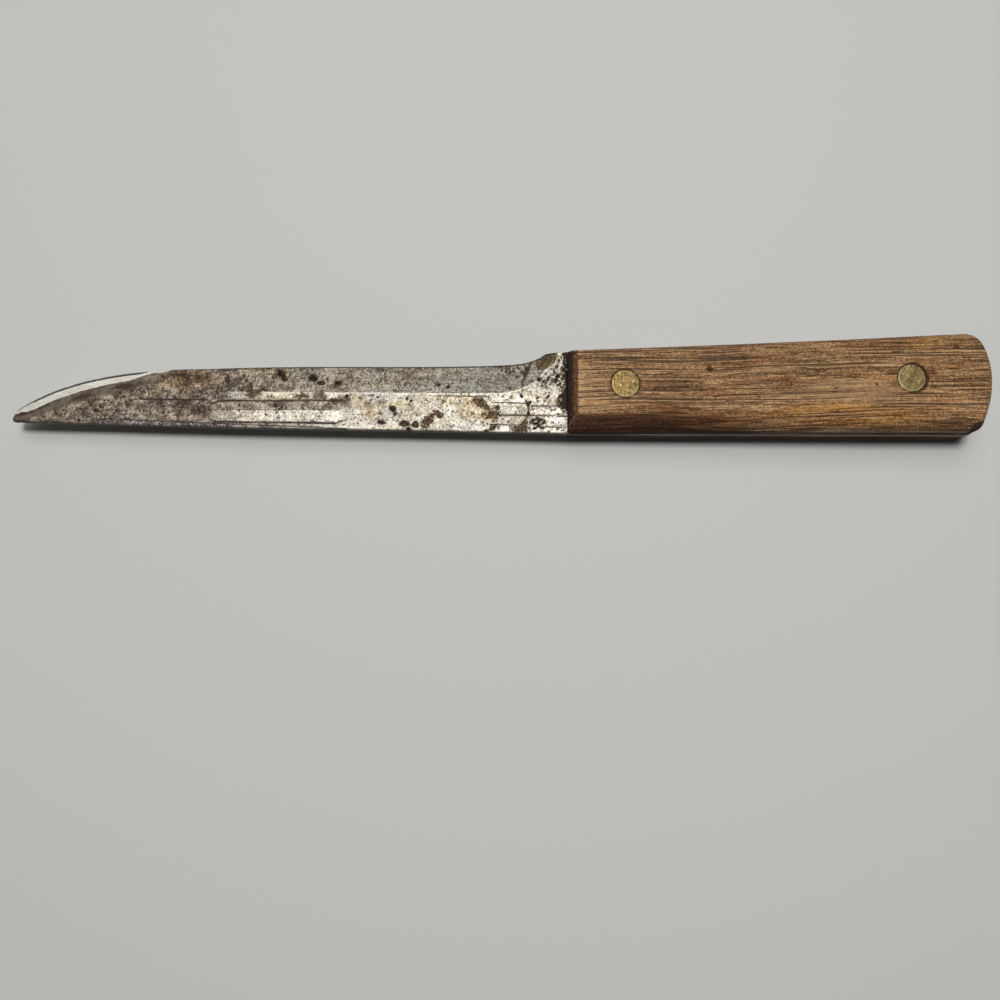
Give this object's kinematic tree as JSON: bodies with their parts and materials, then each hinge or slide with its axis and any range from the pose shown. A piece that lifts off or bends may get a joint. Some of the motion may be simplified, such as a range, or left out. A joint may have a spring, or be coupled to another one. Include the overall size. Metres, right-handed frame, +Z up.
{
  "type": "kitchen knife",
  "caption": "Used kitchen knife: a narrow carbon-steel blade with a wide ground bevel and an upswept belly, its full tang riveted between wooden scales.",
  "frame": {"origin": "middle of the knife's plan outline, on the surface that its lower scale lies on", "axes": "+X along the knife from the point to the butt, +Y from the back towards the cutting edge, +Z up through the side that faces the camera"},
  "size_m": [0.2664, 0.0274, 0.016],
  "materials": {
    "blade_steel": "ground carbon steel with patina, pits and rust",
    "scale_wood": "worn, oiled open-pored brown hardwood",
    "rivet_brass": "dull, scratched brass"
  },
  "bodies": {
    "root": {"blade": "blade_steel", "upper_scale": "scale_wood", "lower_scale": "scale_wood", "front_rivet_male": "rivet_brass", "front_rivet_female": "rivet_brass", "rear_rivet_male": "rivet_brass", "rear_rivet_female": "rivet_brass"}
  },
  "joints": []
}
